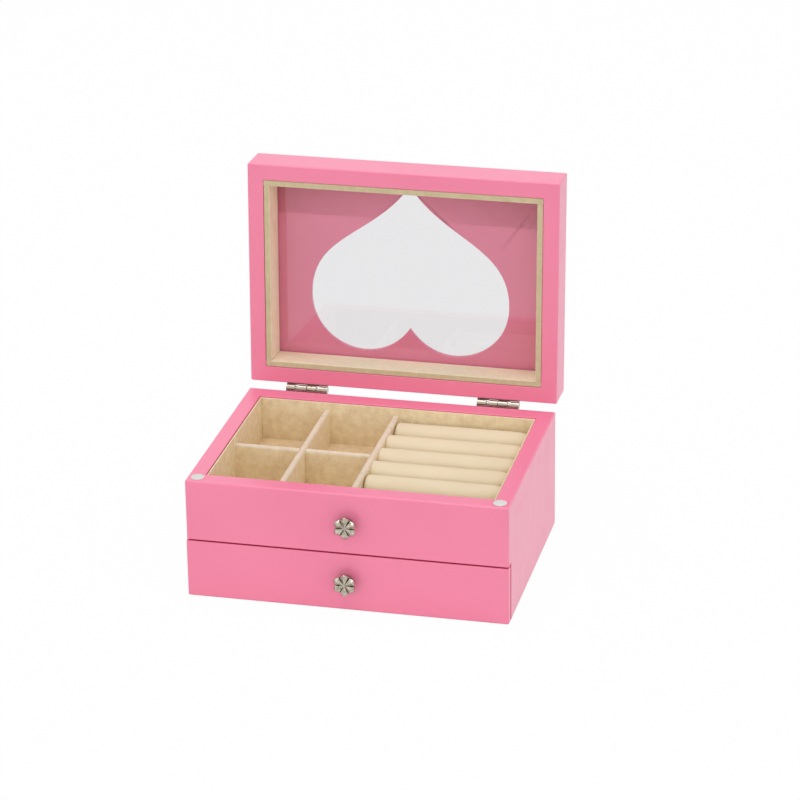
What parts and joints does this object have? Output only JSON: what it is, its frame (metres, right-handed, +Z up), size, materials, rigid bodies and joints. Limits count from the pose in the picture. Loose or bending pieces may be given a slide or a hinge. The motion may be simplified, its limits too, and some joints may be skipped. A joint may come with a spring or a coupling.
{
  "type": "jewellery box",
  "caption": "Painted wooden jewellery box with a divided tray, padded ring rolls, a drawer below and a hinged lid with a heart-shaped glass window.",
  "frame": {"origin": "centre of the cabinet's footprint, on the surface that the box stands on", "axes": "+X to the right as seen from the drawer, +Y to the back, +Z up"},
  "size_m": [0.2412, 0.2296, 0.2712],
  "materials": {
    "pink_painted_wood": "satin pink paint on board",
    "plain_board": "plain fibreboard",
    "beige_suede_board": "beige imitation suede over card",
    "cream_velvet_roll": "cream velvet over foam",
    "white_felt": "off-white felt",
    "antique_nickel": "antique nickel plate, worn",
    "window_glass": "clear polished"
  },
  "bodies": {
    "cabinet": {"side_panel_left": "pink_painted_wood", "side_panel_right": "pink_painted_wood", "back_panel": "pink_painted_wood", "upper_front_panel": "pink_painted_wood", "front_rail": "pink_painted_wood", "bottom_board": "plain_board", "shelf_board": "plain_board", "liner_left": "beige_suede_board", "liner_right": "beige_suede_board", "liner_front": "beige_suede_board", "liner_back": "beige_suede_board", "floor_pad": "beige_suede_board", "main_divider": "beige_suede_board", "cell_divider": "beige_suede_board", "cross_divider": "beige_suede_board", "ring_roll_card": "beige_suede_board", "ring_roll_1": "cream_velvet_roll", "ring_roll_2": "cream_velvet_roll", "ring_roll_3": "cream_velvet_roll", "ring_roll_4": "cream_velvet_roll", "ring_roll_5": "cream_velvet_roll", "ring_roll_6": "cream_velvet_roll", "bumper_left": "white_felt", "bumper_right": "white_felt", "upper_knob": "antique_nickel", "upper_knob_screw": "antique_nickel", "hinge_body_leaf_left": "antique_nickel", "hinge_body_leaf_right": "antique_nickel", "hinge_pin_left": "antique_nickel", "hinge_pin_right": "antique_nickel", "hinge_body_screws": "antique_nickel"},
    "drawer": {"drawer_front": "pink_painted_wood", "drawer_side_left": "plain_board", "drawer_side_right": "plain_board", "drawer_back": "plain_board", "drawer_bottom": "plain_board", "drawer_lining": "beige_suede_board", "drawer_knob": "antique_nickel", "drawer_knob_screw": "antique_nickel"},
    "lid": {"lid_front_rail": "pink_painted_wood", "lid_rear_rail": "pink_painted_wood", "lid_left_rail": "pink_painted_wood", "lid_right_rail": "pink_painted_wood", "lid_panel": "pink_painted_wood", "window_glass": "window_glass", "lid_strip_front": "beige_suede_board", "lid_strip_rear": "beige_suede_board", "lid_strip_left": "beige_suede_board", "lid_strip_right": "beige_suede_board", "hinge_lid_leaf_left": "antique_nickel", "hinge_lid_leaf_right": "antique_nickel", "hinge_lid_screws": "antique_nickel"}
  },
  "joints": [
    {"name": "drawer_slide", "type": "slide", "parent": "cabinet", "child": "drawer", "axis": [0, -1, 0], "range_m": [0, 0.12]},
    {"name": "lid_hinge", "type": "hinge", "parent": "cabinet", "child": "lid", "pos_m": [0, 0.092, 0.09395], "axis": [1, 0, 0], "range_deg": [0, 92.8]}
  ]
}
